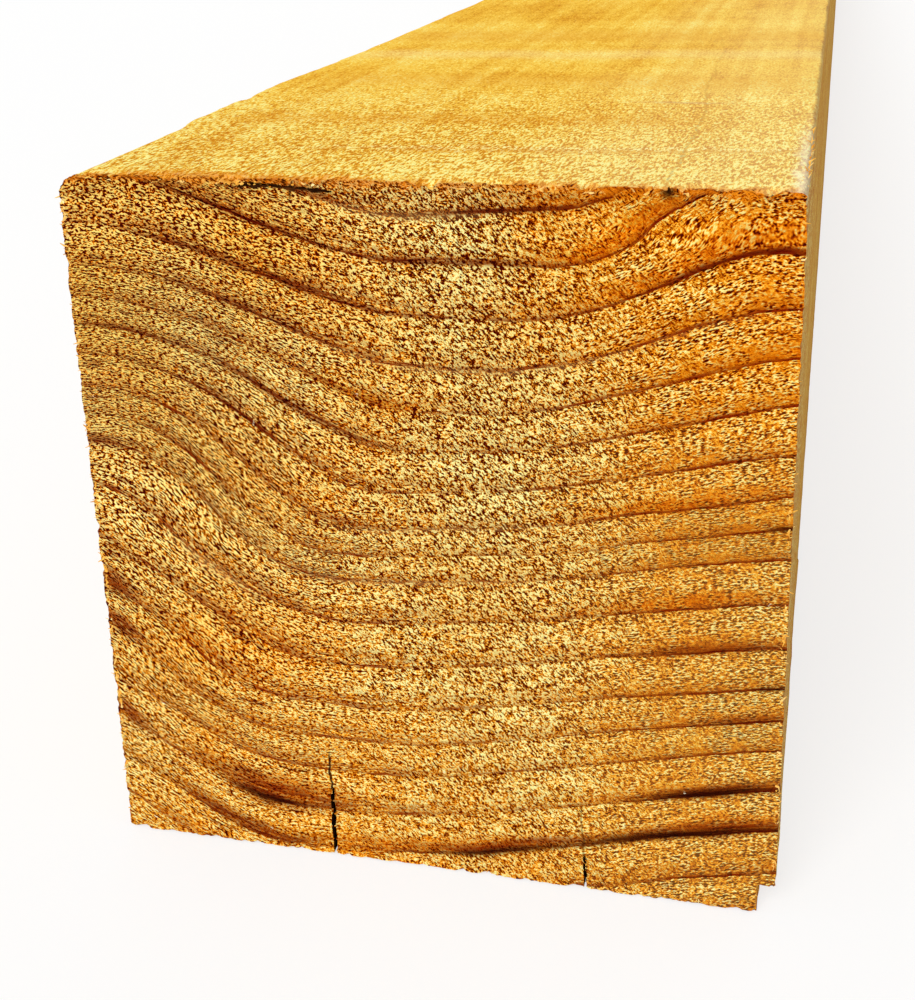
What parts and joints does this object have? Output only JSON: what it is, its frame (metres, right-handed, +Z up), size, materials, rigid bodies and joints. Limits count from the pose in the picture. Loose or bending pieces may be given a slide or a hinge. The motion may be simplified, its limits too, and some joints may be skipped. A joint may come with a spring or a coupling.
{
  "type": "sawn timber beam",
  "caption": "Rough-sawn softwood beam of near-square section, lying flat, with a bruised arris, drying checks in one end and a splinter torn off a lower arris.",
  "frame": {"origin": "centre of the bottom face, at the floor", "axes": "+X across the width, +Y along the grain from the pictured end to the far end, +Z up through the height"},
  "size_m": [0.1, 1.8, 0.105],
  "materials": {
    "sawn_wood": "rough sawn"
  },
  "bodies": {
    "root": {"timber_beam": "sawn_wood"}
  },
  "joints": []
}
